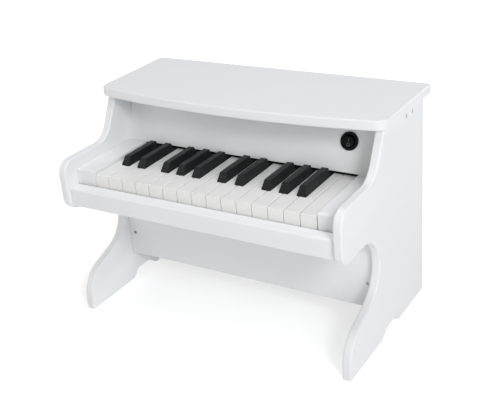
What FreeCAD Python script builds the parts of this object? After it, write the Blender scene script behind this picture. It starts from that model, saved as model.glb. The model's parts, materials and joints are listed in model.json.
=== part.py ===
import FreeCAD, Part
import math
import os

# White toy piano of painted board, two octaves, battery fed.
# Millimetres. +Z is up, the front faces -Y and +X is the player's right.
# The origin is under the middle of the whole object, on the floor.

Vector = FreeCAD.Vector

# Painted boards
lid_board = 12.0
panel_board = 11.0           # side panels
thin_board = 9.0             # fallboard, knee board and key bed
back_board = 6.0
panel_depth = 227.5          # front of the arm to the back edge
panel_height = 261.0         # floor to the underside of the lid
edge_round = 2.5             # routed edge of the side panels

# Side panel outline, setbacks measured back from the front of the arm
cheek_height = 50.5          # arm to the underside of the lid
arm_height = 63.0            # top of the scoop to the arm's top
arm_droop = 3.2              # arm's tip below the top of the scoop
arm_top_radius = 18.0
arm_tip_radius = 18.0
cheek_foot_setback = 85.2
cheek_top_setback = 111.7
elbow_radius = 27.0
scoop_radius = 43.0
scoop_depth = 93.7
scoop_limit_share = 0.35     # most that the scoop's radius takes of the leg's height
ramp_lean = 19.25            # degrees from level, between scoop and toe
toe_setback = 9.2
toe_radius = 41.5
toe_limit_share = 0.9        # most that the toe's round takes of the toe's height
arch_setback = 96.6
arch_length = 50.0
arch_height = 10.8
arch_radius = 6.0

# Lid
lid_side_overhang = 5.6
lid_back_overhang = 9.5
lid_middle_depth = 151.1
lid_bow = 17.0               # how far the middle of the front edge stands forward
lid_front_radius = 16.0
lid_back_radius = 3.0
lid_edge_round = 2.0

# Key bed, front rail, end blocks
bed_rise = 5.6               # arm's underside to the bed's underside
rail_thickness = 16.0
rail_gap = 1.5               # rail to key fronts
rail_round = 3.0
key_front_show = 15.25       # height of key front above the rail
block_gap = 0.6
block_width = 27.8
block_length = 120.0
block_round = 2.5

# Fallboard and knee board
fall_setback = 125.8         # front of its lower edge
fall_gap = 4.1               # above the white keys
fall_lean = 20.0             # degrees from upright
knee_setback = 101.6
knee_end_gap = 0.5           # knee board to each side panel
knee_bottom = 38.6
back_inset = 2.0             # back panel inside the side panels' back edges

# Keys
key_setback = 22.2           # arm front to key fronts
key_pitch = 20.0
white_count = 15
key_gap = 0.9
key_wall = 1.8
key_plate = 2.2              # thickness of the key top
key_side_height = 12.0
key_front_height = 18.9
key_edge_round = 0.8
key_rib = 1.2
key_rib_height = 5.0
rib_place_shares = (0.16, 0.4, 0.62, 0.82)     # of the way to the pivot
pivot_back_room = 50.3       # pivot to the back edge of the side panels
pivot_drop = 7.0             # key top to pivot
tail_length = 8.0            # behind the pivot
key_travel = 2.0             # degrees
post_setback = 78.0          # key front to the post that works the contact
post_size = 4.0

# Black keys
black_width = 11.0
black_top_width = 8.4
black_setback = 36.6
black_length = 60.8          # of the raised part
black_rise = 10.5
black_shoulder = 1.0         # upright part above the white tops
black_front_slope = 7.0
black_back_slope = 0.8
black_shift = 2.0            # outer keys of a group stand off the middle
black_gap = 0.8
black_tail_width = 9.6
black_round = 1.2
black_core_width = 4.6
black_core_inset = 10.0

# One octave: which white keys have a black key after them, and its side shift
octave_shift_shares = (-0.95, 0.95, None, -1.3, -0.1, 1.2, None)

# Key frame and action
frame_plate = 2.5
frame_front_gap = 0.5        # rail to frame
front_felt = 2.3
felt_width = 7.0
tail_felt = 2.0
tail_felt_width = 4.0
stop_gap = 0.3
guide_thickness = 2.0
guide_clearance = 0.4
guide_headroom = 1.2
white_guide_setback = 10.0
black_guide_setback = 42.0
pivot_post_clearance = 0.7   # to each wall of the key
pivot_post_length = 8.0
pivot_post_cap = 3.0         # above the rod's middle
rod_radius = 1.5
rod_clearance = 0.06
rod_overhang = 1.0
rear_wall = 6.0
rear_wall_gap = 3.0
comb_thickness = 0.5
comb_clearance = 0.12
comb_overlap = 1.5           # finger over the key tail
comb_finger_share = 0.7      # of the black key tail's width
contact_board_thickness = 1.6
contact_board_width = 24.0
strip_base = 1.0
strip_width = 12.0
dome_height = 2.9
dome_foot_radius = 3.2
dome_top_radius = 1.8

# Rocker switch, a round one for a 20 mm hole
switch_inset = 43.4          # middle to the inner face of the right side panel
switch_up = 36.4             # along the fallboard from its lower edge
switch_bezel_radius = 10.9
switch_bezel_thickness = 2.0
switch_bezel_round = 0.8
switch_barrel_radius = 10.0
switch_barrel_depth = 17.0
switch_hole_clearance = 0.1
rocker_radius = 7.5          # ball that the rocker is cut from
rocker_clearance = 0.35
rocker_axis_depth = 0.4      # pivot below the fallboard's face
rocker_height = 3.3          # pivot to the fold between the two halves
rocker_tilt = 9.0            # degrees each way from the middle
rocker_floor_gap = 0.6
rocker_cut_depth = 4.0       # flat underside below the pivot
rocker_pin_radius = 1.2
rocker_pin_length = 1.2
clip_width = 5.0
clip_reach = 1.2
clip_height = 3.0
terminal_width = 4.8
terminal_thickness = 0.8
terminal_length = 8.0
terminal_offset = 5.0

# Speaker on the back panel
speaker_inset = 83.4         # middle to the inner face of the left side panel
speaker_drop = 35.0          # middle below the lid
speaker_radius = 28.5
speaker_rim = 5.0
speaker_ledge = 3.5          # inside the rim, carries the cone's edge
speaker_metal = 1.2
speaker_depth = 12.0
speaker_neck_radius = 14.0
magnet_radius = 15.0
magnet_depth = 9.0
magnet_round = 0.8
cone_paper = 0.6
cone_gap = 0.4
cone_depth = 8.0
cone_neck_radius = 8.0
cap_height = 3.0
coil_gap = 0.6
sound_hole_radius = 2.0
sound_hole_step = 7.0
sound_hole_counts = (1, 6, 12)

# Battery bay for AA cells
battery_inset = 83.4         # middle to the inner face of the right side panel
battery_drop = 35.0          # middle below the lid
cell_length = 50.5
cell_pitch = 15.4
cell_count = 3
contact_room = 7.5
bay_depth = 17.0
bay_wall = 1.6
bay_clearance = 0.2
flange_width = 7.0
flange_thickness = 1.6
door_thickness = 2.0
door_margin = 1.0            # flange showing round the door
door_lip = 2.0
door_clearance = 0.4
contact_plate = 0.5
contact_size = 10.0
contact_bump = 3.0
contact_bump_radius = 3.0

# Sound board
sound_board_width = 70.0
sound_board_height = 42.0
sound_board_thickness = 1.6
spacer_height = 6.0
spacer_radius = 3.0
spacer_inset = 4.0
chip_size = 16.0
chip_thickness = 2.0
capacitor_radius = 4.0
capacitor_length = 11.0
capacitor_offset_share = 0.3

# Battens, dowels and screws
cleat = 15.0
knee_cleat_gap = 5.0         # kept clear at both ends
lid_cleat = 14.0
dowel_radius = 3.0
dowel_in_panel = 8.0
dowel_in_bed = 12.0
dowel_shares = (0.15, 0.5, 0.85)
screw_radius = 1.5
screw_head_radius = 2.5
screw_head_depth = 1.4
screw_clearance = 0.05
small_screw_radius = 1.1
small_head_radius = 2.0
small_head_depth = 1.0
door_screw_clearance = 0.3
knee_screw_length = 20.0
knee_screw_inset = 8.6       # from the inner face of the side panel
knee_screw_rise = 31.8       # lower ones, above the board's lower edge
knee_screw_drop = 27.7       # upper ones, below the key bed
side_screw_length = 24.0
side_screw_shares = (0.24, 0.53)               # of the lid cleat's length
back_screw_length = 18.0
back_screw_shares = (-0.42, 0.0, 0.42)
back_screw_inset = 7.0
back_screw_cleat_share = 0.82                  # of the lid cleat's height, below the side screws
frame_screw_length = 8.0
frame_screw_shares = (-0.47, 0.47)
speaker_screw_length = 5.0
speaker_screw_count = 4
board_screw_length = 11.0
door_screw_length = 8.0

overrun = 1.0                # how far a cutting shape runs past the wall
tolerance = 0.01

# Worked out from the sizes above
front_y = -(panel_depth + lid_back_overhang) / 2
back_y = front_y + panel_depth
keys_half = white_count * key_pitch / 2
inner_x = keys_half + block_gap + block_width
inner_width = 2 * inner_x
outer_x = inner_x + panel_board
arm_top = panel_height - cheek_height
arm_bottom = arm_top - arm_height
bed_bottom = arm_bottom + bed_rise
key_y = front_y + key_setback
pivot_distance = panel_depth - key_setback - pivot_back_room
travel = math.radians(key_travel)
bed_top = bed_bottom + thin_board
plate_top = bed_top + frame_plate
front_drop = pivot_distance * math.sin(travel)
key_top = plate_top + front_felt + stop_gap + front_drop + key_front_height
key_roof = key_top - key_plate
key_sill = key_top - key_side_height
key_front_sill = key_top - key_front_height
pivot_y = key_y + pivot_distance
pivot_z = key_top - pivot_drop
tail_y = pivot_y + tail_length
black_y = key_y + black_setback
black_end_y = black_y + black_length
head_end_y = black_y - black_gap
rail_back_y = key_y - rail_gap
rail_front_y = rail_back_y - rail_thickness
rail_top = key_top - key_front_show
fall_bottom = key_top + fall_gap
fall_y = front_y + fall_setback
lean = math.radians(fall_lean)
fall_run = (panel_height - fall_bottom) * math.tan(lean)
fall_level = thin_board / math.cos(lean)       # thickness measured level
knee_y = front_y + knee_setback
back_out_y = back_y - back_inset
back_in_y = back_out_y - back_board
rear_wall_y = tail_y + rear_wall_gap
comb_z = key_top + tail_length * math.sin(travel) + comb_clearance
dome_top = plate_top + contact_board_thickness + strip_base + dome_height
post_y = key_y + post_setback
post_drop = (pivot_distance - post_setback) * math.sin(travel)
post_sill = dome_top + stop_gap + post_drop
bay_length = cell_length + contact_room
bay_height = cell_count * cell_pitch
bay_mouth_y = back_out_y + flange_thickness
bay_floor_y = bay_mouth_y - bay_depth
switch_x = inner_x - switch_inset
speaker_x = speaker_inset - inner_x
battery_x = inner_x - battery_inset
speaker_z = panel_height - speaker_drop
battery_z = panel_height - battery_drop
lid_cleat_z = panel_height - lid_cleat
lid_cleat_y = fall_y + fall_run + fall_level


def save(node, shape):
    """Write one piece to its own file."""
    shape.exportStep("parts/" + node + ".step")


def block(x, y, z):
    """Block between three pairs of low and high limits."""
    return Part.makeBox(x[1] - x[0], y[1] - y[0], z[1] - z[0], Vector(x[0], y[0], z[0]))


def round_bar(radius, start, end):
    """Cylinder between two points."""
    along = end - start
    return Part.makeCylinder(radius, along.Length, start, along)


def line(start, end):
    """Straight edge."""
    return Part.LineSegment(start, end).toShape()


def arc(start, middle, end):
    """Round edge through three points."""
    return Part.Arc(start, middle, end).toShape()


def rounded_path(corners):
    """Edges along corner points, each point with the radius that rounds it."""
    edges = []
    here = corners[0][0]
    for before, corner, after in zip(corners, corners[1:], corners[2:]):
        point, radius = corner
        if radius == 0:
            edges.append(line(here, point))
            here = point
            continue
        back = (before[0] - point).normalize()
        on = (after[0] - point).normalize()
        half = back.getAngle(on) / 2
        start = point + back * (radius / math.tan(half))
        end = point + on * (radius / math.tan(half))
        middle = point + (back + on).normalize() * (radius / math.sin(half) - radius)
        edges += [line(here, start), arc(start, middle, end)]
        here = end
    edges.append(line(here, corners[-1][0]))
    return edges


def slab(edges, along):
    """Solid pulled from a closed flat outline."""
    return Part.Face(Part.Wire(Part.__sortEdges__(edges))).extrude(along)


def fillet_where(shape, radius, chosen):
    """Round the edges that a test picks."""
    return shape.makeFillet(radius, [edge for edge in shape.Edges if chosen(edge)])


def edge_lies(edge, axis, value):
    """Whether a whole edge lies at one value of x, y or z."""
    return all(abs(getattr(vertex.Point, axis) - value) < tolerance for vertex in edge.Vertexes)


def screw(head, along, radius, head_radius, head_depth, length, clearance=0):
    """Countersunk screw, or with a clearance the hole that it goes in."""
    along = Vector(along).normalize()
    cone = Part.makeCone(head_radius + clearance, radius + clearance, head_depth, head, along)
    shank = Part.makeCylinder(radius + clearance, length + clearance, head, along)
    return cone.fuse(shank).removeSplitter()


def board_screw(head, along, length, clearance=0):
    """Wood screw of the size used in the boards."""
    return screw(head, along, screw_radius, screw_head_radius, screw_head_depth, length, clearance)


def small_screw(head, along, length, clearance=0):
    """Small screw used in plastic and sheet metal."""
    return screw(head, along, small_screw_radius, small_head_radius, small_head_depth, length, clearance)


def cut_all(shape, tools):
    """Cut several tools from a shape."""
    for tool in tools:
        shape = shape.cut(tool)
    return shape


def fuse_all(shapes):
    """Join shapes into one clean solid."""
    return shapes[0].multiFuse(shapes[1:]).removeSplitter()


# Places of the fasteners, shared by the screws and by their holes
def knee_screw_places():
    """Heads of the knee board screws, in its front face."""
    reach = inner_x - knee_screw_inset
    heights = (knee_bottom + knee_screw_rise, bed_bottom - knee_screw_drop)
    return [Vector(side * reach, knee_y, z) for side in (-1, 1) for z in heights]


def side_screw_places(side):
    """Heads of the screws through one side panel into the lid cleat."""
    z = panel_height - lid_cleat / 2
    length = back_in_y - lid_cleat_y
    return [Vector(side * outer_x, lid_cleat_y + share * length, z) for share in side_screw_shares]


def back_screw_places():
    """Heads of the back panel screws: into the key bed and into the lid cleats."""
    low_z = bed_bottom + thin_board / 2
    low = [Vector(share * inner_width, back_out_y, low_z) for share in back_screw_shares]
    z = panel_height - back_screw_cleat_share * lid_cleat
    high = [Vector(side * (inner_x - back_screw_inset), back_out_y, z) for side in (-1, 1)]
    return low + high


def frame_screw_places():
    """Heads of the screws that hold the key frame down."""
    ys = ((key_y + white_guide_setback + post_y) / 2, (post_y + pivot_y) / 2 + contact_board_width / 2)
    return [Vector(share * 2 * keys_half, y, plate_top) for share in frame_screw_shares for y in ys]


def speaker_screw_places():
    """Heads of the speaker screws, on the rim inside the case."""
    reach = speaker_radius - speaker_rim / 2
    y = back_in_y - speaker_metal
    places = []
    for index in range(speaker_screw_count):
        turn = (index + 1 / 2) * 2 * math.pi / speaker_screw_count
        places.append(Vector(speaker_x + reach * math.cos(turn), y, speaker_z + reach * math.sin(turn)))
    return places


def sound_board_screw_places():
    """Heads of the screws through the sound board and its spacers."""
    y = back_in_y - spacer_height - sound_board_thickness
    across = sound_board_width / 2 - spacer_inset
    up = sound_board_height / 2 - spacer_inset
    return [Vector(x, y, battery_z + z) for x in (-across, across) for z in (-up, up)]


def door_screw_place():
    """Head of the battery door screw."""
    z = battery_z + bay_height / 2 + bay_wall + (flange_width - bay_wall) / 2
    return Vector(battery_x, bay_mouth_y + door_thickness, z)


def dowel_places():
    """Middle of each dowel where the key bed meets a side panel."""
    depth = back_in_y - rail_back_y
    z = bed_bottom + thin_board / 2
    return [Vector(side * inner_x, rail_back_y + share * depth, z)
            for side in (-1, 1) for share in dowel_shares]


def dowel(place, clearance=0):
    """One dowel across the joint, or with a clearance its hole."""
    side = math.copysign(1, place.x)
    start = place + Vector(side * (dowel_in_panel + clearance), 0, 0)
    end = place - Vector(side * (dowel_in_bed + clearance), 0, 0)
    return round_bar(dowel_radius + clearance, start, end)


# Side panels
def panel_outline(x):
    """Closed outline of a side panel in one upright plane."""

    def at(setback, z):
        return Vector(x, front_y + setback, z)

    radius = min(scoop_radius, scoop_limit_share * arm_bottom)
    scoop = (scoop_depth - radius, arm_bottom - radius)
    tilt = math.radians(ramp_lean)
    ramp_back = scoop[0] + radius * math.sin(tilt)
    ramp_high = scoop[1] - radius * math.cos(tilt)
    toe_top = ramp_high - (ramp_back - toe_setback) * math.tan(tilt)
    half_bend = (math.pi / 2 - tilt) / 2
    toe_round = min(toe_radius, toe_limit_share * toe_top / math.tan(half_bend))
    arch_end = arch_setback + arch_length
    reach = math.hypot(scoop[0], radius - arm_droop)
    scoop_end = math.atan2(radius - arm_droop, -scoop[0]) - math.acos(radius / reach)

    def on_scoop(turn):
        return at(scoop[0] + radius * math.cos(turn), scoop[1] + radius * math.sin(turn))

    edges = [
        arc(at(ramp_back, ramp_high), on_scoop(-half_bend), on_scoop(0)),
        arc(on_scoop(0), on_scoop(scoop_end / 2), on_scoop(scoop_end)),
    ]
    edges += rounded_path([
        (on_scoop(scoop_end), 0),
        (at(0, arm_bottom - arm_droop), arm_tip_radius),
        (at(0, arm_top), arm_top_radius),
        (at(cheek_foot_setback, arm_top), elbow_radius),
        (at(cheek_top_setback, panel_height), 0),
        (at(panel_depth, panel_height), 0),
        (at(panel_depth, 0), 0),
        (at(arch_end, 0), 0),
        (at(arch_end - arch_height, arch_height), arch_radius),
        (at(arch_setback + arch_height, arch_height), arch_radius),
        (at(arch_setback, 0), 0),
        (at(toe_setback, 0), 0),
        (at(toe_setback, toe_top), toe_round),
        (at(ramp_back, ramp_high), 0),
    ])
    return edges


def side_panel(side):
    """Routed side board with arm, scoop, leg and foot."""
    inside = side * inner_x
    panel = slab(panel_outline(inside), Vector(side * panel_board, 0, 0))
    floor_band = arch_height + tolerance

    def routed(edge):
        flat = edge_lies(edge, "x", inside) or edge_lies(edge, "x", side * outer_x)
        low = max(vertex.Z for vertex in edge.Vertexes) < floor_band
        high = min(vertex.Z for vertex in edge.Vertexes) > panel_height - tolerance
        return flat and not low and not high

    panel = fillet_where(panel, edge_round, routed)
    along = Vector(-side, 0, 0)
    holes = [board_screw(place, along, side_screw_length, screw_clearance)
             for place in side_screw_places(side)]
    holes += [dowel(place, screw_clearance) for place in dowel_places() if place.x * side > 0]
    return cut_all(panel, holes)


# Boards
def lid():
    """Top board with a bowed front edge and rounded corners."""
    half = outer_x + lid_side_overhang
    back = back_y + lid_back_overhang
    front = back - lid_middle_depth
    corner = front + lid_bow
    z = panel_height
    edges = [
        arc(Vector(-half, corner, z), Vector(0, front, z), Vector(half, corner, z)),
        line(Vector(half, corner, z), Vector(half, back, z)),
        line(Vector(half, back, z), Vector(-half, back, z)),
        line(Vector(-half, back, z), Vector(-half, corner, z)),
    ]
    top = slab(edges, Vector(0, 0, lid_board))

    def upright(edge):
        return edge_lies(edge, "x", half) or edge_lies(edge, "x", -half)

    def front_corner(edge):
        return upright(edge) and edge_lies(edge, "y", corner)

    def back_corner(edge):
        return upright(edge) and edge_lies(edge, "y", back)

    top = fillet_where(top, lid_front_radius, front_corner)
    top = fillet_where(top, lid_back_radius, back_corner)
    return fillet_where(top, lid_edge_round, lambda edge: edge_lies(edge, "z", z + lid_board)
                        or edge_lies(edge, "z", z))


def on_fallboard(shape, depth=0):
    """Move a shape from its own axes, +Z out of the board, to the switch's place."""
    up = Vector(0, math.sin(lean), math.cos(lean))
    out = Vector(0, -math.cos(lean), math.sin(lean))
    place = Vector(switch_x, fall_y, fall_bottom) + up * switch_up - out * depth
    moved = shape.copy()
    moved.Placement = FreeCAD.Placement(place, FreeCAD.Rotation(Vector(1, 0, 0), 90 - fall_lean))
    return moved


def fallboard():
    """Slanted board behind the keys, with the round hole for the switch."""
    x = -inner_x
    low = [Vector(x, fall_y, fall_bottom), Vector(x, fall_y + fall_level, fall_bottom)]
    high = [Vector(x, point.y + fall_run, panel_height) for point in reversed(low)]
    outline = Part.makePolygon(low + high + low[:1])
    sheet = Part.Face(outline).extrude(Vector(inner_width, 0, 0))
    hole = Part.makeCylinder(switch_barrel_radius + switch_hole_clearance, thin_board + 2 * overrun,
                             Vector(0, 0, -thin_board - overrun))
    return sheet.cut(on_fallboard(hole))


def knee_board():
    """Upright board between the legs."""
    half = inner_x - knee_end_gap
    sheet = block((-half, half), (knee_y, knee_y + thin_board), (knee_bottom, bed_bottom))
    holes = [board_screw(place, Vector(0, 1, 0), knee_screw_length, screw_clearance)
             for place in knee_screw_places()]
    return cut_all(sheet, holes)


def key_bed():
    """Board that carries the key frame."""
    sheet = block((-inner_x, inner_x), (rail_back_y, back_in_y), (bed_bottom, bed_top))
    holes = [dowel(place, screw_clearance) for place in dowel_places()]
    holes += [board_screw(place, Vector(0, -1, 0), back_screw_length, screw_clearance)
              for place in back_screw_places()]
    holes += [small_screw(place, Vector(0, 0, -1), frame_screw_length, screw_clearance)
              for place in frame_screw_places()]
    return cut_all(sheet, holes)


def front_rail():
    """Strip in front of the keys with a rounded upper edge."""
    strip = block((-inner_x, inner_x), (rail_front_y, rail_back_y), (bed_bottom, rail_top))

    def upper(edge):
        return edge_lies(edge, "y", rail_front_y) and edge_lies(edge, "z", rail_top)

    return fillet_where(strip, rail_round, upper)


def end_block(side):
    """Filler between the last key and a side panel."""
    x = sorted((side * (keys_half + block_gap), side * inner_x))
    solid = block(x, (key_y, key_y + block_length), (bed_top, fall_bottom))

    def nose(edge):
        return edge_lies(edge, "y", key_y) and edge_lies(edge, "z", fall_bottom)

    return fillet_where(solid, block_round, nose)


def back_panel():
    """Back board with sound holes and the battery cut-out."""
    sheet = block((-inner_x, inner_x), (back_in_y, back_out_y), (bed_bottom, panel_height))
    holes = []
    for ring, count in enumerate(sound_hole_counts):
        for index in range(count):
            turn = 2 * math.pi * index / count
            x = speaker_x + ring * sound_hole_step * math.cos(turn)
            z = speaker_z + ring * sound_hole_step * math.sin(turn)
            holes.append(round_bar(sound_hole_radius, Vector(x, back_in_y - overrun, z),
                                   Vector(x, back_out_y + overrun, z)))
    across = bay_length / 2 + bay_wall + bay_clearance
    up = bay_height / 2 + bay_wall + bay_clearance
    holes.append(block((battery_x - across, battery_x + across), (back_in_y - overrun, back_out_y + overrun),
                       (battery_z - up, battery_z + up)))
    holes += [board_screw(place, Vector(0, -1, 0), back_screw_length, screw_clearance)
              for place in back_screw_places()]
    holes += [small_screw(place, Vector(0, 1, 0), speaker_screw_length, screw_clearance)
              for place in speaker_screw_places()]
    holes += [small_screw(place, Vector(0, 1, 0), board_screw_length, screw_clearance)
              for place in sound_board_screw_places()]
    holes.append(small_screw(door_screw_place(), Vector(0, -1, 0), door_screw_length, door_screw_clearance))
    return cut_all(sheet, holes)


def knee_cleats():
    """Battens on the side panels that take the knee board screws."""
    pieces = []
    for side in (-1, 1):
        x = sorted((side * (inner_x - cleat), side * inner_x))
        batten = block(x, (knee_y + thin_board, knee_y + thin_board + cleat),
                       (knee_bottom + knee_cleat_gap, bed_bottom - knee_cleat_gap))
        holes = [board_screw(place, Vector(0, 1, 0), knee_screw_length, screw_clearance)
                 for place in knee_screw_places()]
        pieces.append(cut_all(batten, holes))
    return Part.makeCompound(pieces)


def lid_cleats():
    """Battens under the lid that take the side and back screws."""
    pieces = []
    for side in (-1, 1):
        x = sorted((side * (inner_x - lid_cleat), side * inner_x))
        batten = block(x, (lid_cleat_y, back_in_y), (lid_cleat_z, panel_height))
        holes = [board_screw(place, Vector(-side, 0, 0), side_screw_length, screw_clearance)
                 for place in side_screw_places(side)]
        holes += [board_screw(place, Vector(0, -1, 0), back_screw_length, screw_clearance)
                  for place in back_screw_places()]
        pieces.append(cut_all(batten, holes))
    return Part.makeCompound(pieces)


# Key layout
def black_shift_after(index):
    """Side shift of the black key after a white key, in shares, or None where there is none."""
    if index < 0 or index >= white_count - 1:
        return None
    return octave_shift_shares[index % len(octave_shift_shares)]


def black_middle(index):
    """Middle of the black key after a white key."""
    return -keys_half + (index + 1) * key_pitch + black_shift_after(index) * black_shift


def white_limits(index):
    """Low and high x of a white key's head and of its rear part between the black keys."""
    low = -keys_half + index * key_pitch + key_gap / 2
    high = low + key_pitch - key_gap
    room = black_width / 2 + black_gap
    rear_low, rear_high = low, high
    if black_shift_after(index - 1) is not None:
        rear_low = black_middle(index - 1) + room
    if black_shift_after(index) is not None:
        rear_high = black_middle(index) - room
    return (low, high), (rear_low, rear_high)


def inset(limits, wall):
    """Pair of limits drawn in by a wall."""
    return (limits[0] + wall, limits[1] - wall)


def middle(limits):
    """Middle of a pair of limits."""
    return (limits[0] + limits[1]) / 2


def action_places():
    """Middle x of every key's rear part, white and black."""
    whites = [middle(white_limits(index)[1]) for index in range(white_count)]
    blacks = [black_middle(index) for index in black_indices()]
    return whites + blacks


def black_indices():
    """White keys that have a black key after them."""
    return [index for index in range(white_count) if black_shift_after(index) is not None]


def pivot_bore():
    """Bore through all keys for the pivot rod."""
    reach = keys_half + overrun
    return round_bar(rod_radius + rod_clearance,
                     Vector(-reach, pivot_y, pivot_z), Vector(reach, pivot_y, pivot_z))


def key_insides(rear, first_y, post_roof):
    """Cross ribs and contact post inside the hollow of a key."""
    pieces = []
    inner = inset(rear, key_wall)
    for share in rib_place_shares:
        y = key_y + share * pivot_distance
        if y > first_y:
            pieces.append(block(inner, (y, y + key_rib), (key_roof - key_rib_height, key_roof)))
    x = middle(rear)
    half = post_size / 2
    pieces.append(block((x - half, x + half), (post_y - half, post_y + half), (post_sill, post_roof)))
    return pieces


def white_key(index):
    """Moulded white key, open underneath, notched for its black neighbours."""
    head, rear = white_limits(index)
    shell = block(head, (key_y, head_end_y), (key_sill, key_top))
    shell = shell.fuse(block(rear, (key_y, tail_y), (key_sill, key_top)))
    shell = shell.fuse(block(head, (key_y, key_y + key_wall), (key_front_sill, key_sill))).removeSplitter()

    def shown(edge):
        if not edge_lies(edge, "z", key_top):
            return False
        return edge_lies(edge, "y", key_y) or edge_lies(edge, "x", head[0]) or edge_lies(edge, "x", head[1])

    shell = fillet_where(shell, key_edge_round, shown)
    upright = (key_sill - overrun, key_roof)
    hollow = block(inset(head, key_wall), inset((key_y, head_end_y), key_wall), upright)
    channel = block(inset(rear, key_wall), inset((key_y, tail_y), key_wall), upright)
    shell = shell.cut(hollow.fuse(channel).removeSplitter())
    shell = fuse_all([shell] + key_insides(rear, key_y + white_guide_setback, key_roof))
    return shell.cut(pivot_bore())


def black_key(index):
    """Moulded black key: tapered cap with a sloping front, and a channel back to the pivot."""
    x = black_middle(index)
    half = black_width / 2
    top_half = black_top_width / 2
    shoulder = key_top + black_shoulder
    top = key_top + black_rise
    section = Part.makePolygon([
        Vector(x - half, black_y, key_sill), Vector(x + half, black_y, key_sill),
        Vector(x + half, black_y, shoulder), Vector(x + top_half, black_y, top),
        Vector(x - top_half, black_y, top), Vector(x - half, black_y, shoulder),
        Vector(x - half, black_y, key_sill)])
    cap = Part.Face(section).extrude(Vector(0, black_length, 0))
    wide = (x - half - overrun, x + half + overrun)
    cap = cap.cut(slope_tool(wide, black_y, black_front_slope, shoulder, top))
    cap = cap.cut(slope_tool(wide, black_end_y, -black_back_slope, shoulder, top))

    def shown(edge):
        return min(vertex.Z for vertex in edge.Vertexes) > shoulder + tolerance

    cap = fillet_where(cap, black_round, shown)
    rear = (x - black_tail_width / 2, x + black_tail_width / 2)
    shell = cap.fuse(block(rear, (black_end_y - overrun, tail_y), (key_sill, key_top))).removeSplitter()
    upright = (key_sill - overrun, key_roof)
    wide_hollow = block((x - half + key_wall, x + half - key_wall),
                        (black_y + key_wall, black_end_y - key_wall), upright)
    channel = block(inset(rear, key_wall),
                    (black_end_y - key_wall - overrun, tail_y - key_wall), upright)
    core = block((x - black_core_width / 2, x + black_core_width / 2),
                 inset((black_y, black_end_y), black_core_inset), (key_roof - overrun, top - key_plate))
    shell = shell.cut(fuse_all([wide_hollow, channel, core]))
    shell = fuse_all([shell] + key_insides(rear, black_end_y, top - key_plate))
    return shell.cut(pivot_bore())


def slope_tool(x, y, run, low, high):
    """Wedge that slopes the end of a black key, leaning in over its height."""
    rise = high - low
    beyond = -math.copysign(overrun, run)
    outline = Part.makePolygon([
        Vector(x[0], y, low), Vector(x[0], y + run * (rise + overrun) / rise, high + overrun),
        Vector(x[0], y + beyond, high + overrun), Vector(x[0], y + beyond, low), Vector(x[0], y, low)])
    return Part.Face(outline).extrude(Vector(x[1] - x[0], 0, 0))


# Key frame and action
def guide_top(setback):
    """Height of a guide tab, below the key's roof when the key is down."""
    return key_roof - (pivot_distance - setback) * math.sin(travel) - guide_headroom


def guide_tab(limits, setback):
    """Upright tab that keeps a key from moving sideways."""
    y = key_y + setback
    return block(inset(limits, key_wall + guide_clearance), (y, y + guide_thickness),
                 (plate_top, guide_top(setback)))


def pivot_post(limits):
    """Round-topped post that holds the pivot rod inside a white key."""
    x = inset(limits, key_wall + pivot_post_clearance)
    y = (pivot_y - pivot_post_length / 2, pivot_y + pivot_post_length / 2)
    stem = block(x, y, (plate_top, pivot_z))
    cap = round_bar(pivot_post_cap, Vector(x[0], pivot_y, pivot_z), Vector(x[1], pivot_y, pivot_z))
    return stem.fuse(cap)


def key_frame():
    """Moulded tray under the keys."""
    across = (-keys_half, keys_half)
    plate = block(across, (rail_back_y + frame_front_gap, rear_wall_y + rear_wall), (bed_top, plate_top))
    ledge_top = key_sill - stop_gap - tail_felt
    pieces = [
        plate,
        block(across, (tail_y - tail_felt_width, tail_y), (plate_top, ledge_top)),
        block(across, (rear_wall_y, rear_wall_y + rear_wall), (plate_top, comb_z)),
    ]
    for index in range(white_count):
        head, rear = white_limits(index)
        pieces.append(guide_tab(head, white_guide_setback))
        pieces.append(pivot_post(rear))
    for index in black_indices():
        x = black_middle(index)
        pieces.append(guide_tab((x - black_width / 2, x + black_width / 2), black_guide_setback))
    frame = fuse_all(pieces)
    rod_hole = round_bar(rod_radius + screw_clearance, Vector(-keys_half, pivot_y, pivot_z),
                         Vector(keys_half, pivot_y, pivot_z))
    holes = [small_screw(place, Vector(0, 0, -1), frame_screw_length, screw_clearance)
             for place in frame_screw_places()]
    return cut_all(frame, [rod_hole] + holes)


def key_pivot_rod():
    """Steel rod through the posts and the keys."""
    reach = keys_half - rod_overhang
    return round_bar(rod_radius, Vector(-reach, pivot_y, pivot_z), Vector(reach, pivot_y, pivot_z))


def key_return_comb():
    """Spring comb, one finger over each key tail."""
    z = (comb_z, comb_z + comb_thickness)
    pieces = [block((-keys_half, keys_half), (rear_wall_y, rear_wall_y + rear_wall), z)]
    half = black_tail_width * comb_finger_share / 2
    for x in action_places():
        pieces.append(block((x - half, x + half), (tail_y - comb_overlap, rear_wall_y), z))
    return fuse_all(pieces)


def front_stop_felt():
    """Felt strip that the white key fronts land on."""
    return block((-keys_half, keys_half), (key_y, key_y + felt_width), (plate_top, plate_top + front_felt))


def tail_stop_felt():
    """Felt strip that the key tails rest on."""
    top = key_sill - stop_gap
    return block((-keys_half, keys_half), (tail_y - tail_felt_width, tail_y), (top - tail_felt, top))


def contact_board():
    """Circuit strip under the contact domes."""
    half = contact_board_width / 2
    return block((-keys_half, keys_half), (post_y - half, post_y + half),
                 (plate_top, plate_top + contact_board_thickness))


def contact_strip():
    """Rubber strip with one dome under each key's post."""
    z = plate_top + contact_board_thickness
    half = strip_width / 2
    pieces = [block((-keys_half, keys_half), (post_y - half, post_y + half), (z, z + strip_base))]
    for x in action_places():
        pieces.append(Part.makeCone(dome_foot_radius, dome_top_radius, dome_height,
                                    Vector(x, post_y, z + strip_base)))
    return fuse_all(pieces)


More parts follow.
